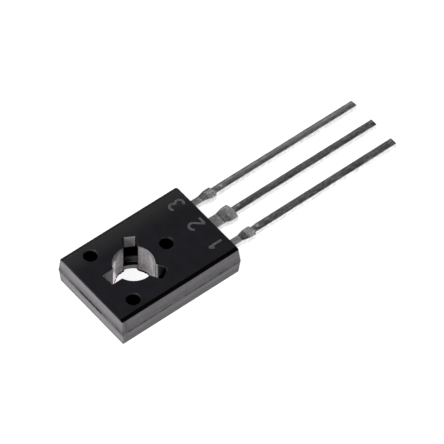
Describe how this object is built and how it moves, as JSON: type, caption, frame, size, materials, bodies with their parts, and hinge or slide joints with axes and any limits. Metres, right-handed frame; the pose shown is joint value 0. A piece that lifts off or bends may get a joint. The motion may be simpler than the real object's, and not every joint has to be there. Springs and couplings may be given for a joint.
{
  "type": "bipolar transistor",
  "caption": "Flat black moulded power transistor with a notched screw hole, a bare metal back and straight tinned leads at one end.",
  "frame": {"origin": "on the axis of the screw hole, in the plane of the bare metal back", "axes": "+X runs along the leads away from the body, +Z comes out of the front face, +Y is on the side of the base lead"},
  "size_m": [0.0265, 0.0076, 0.0026],
  "materials": {
    "epoxy": "black moulded epoxy, fine eroded texture",
    "frame_copper": "copper strip, plated and tinned, satin",
    "tinned_lead": "copper strip dipped in solder, dull",
    "silicon": "polished, with a metal top layer",
    "solder": "dull solder",
    "bond_wire": "drawn wire, bright"
  },
  "bodies": {
    "root": {"moulded_body": "epoxy", "collector_frame": "frame_copper", "emitter_lead": "tinned_lead", "base_lead": "tinned_lead", "silicon_die": "silicon", "die_attach_solder": "solder", "emitter_bond_wire": "bond_wire", "base_bond_wire": "bond_wire"}
  },
  "joints": []
}
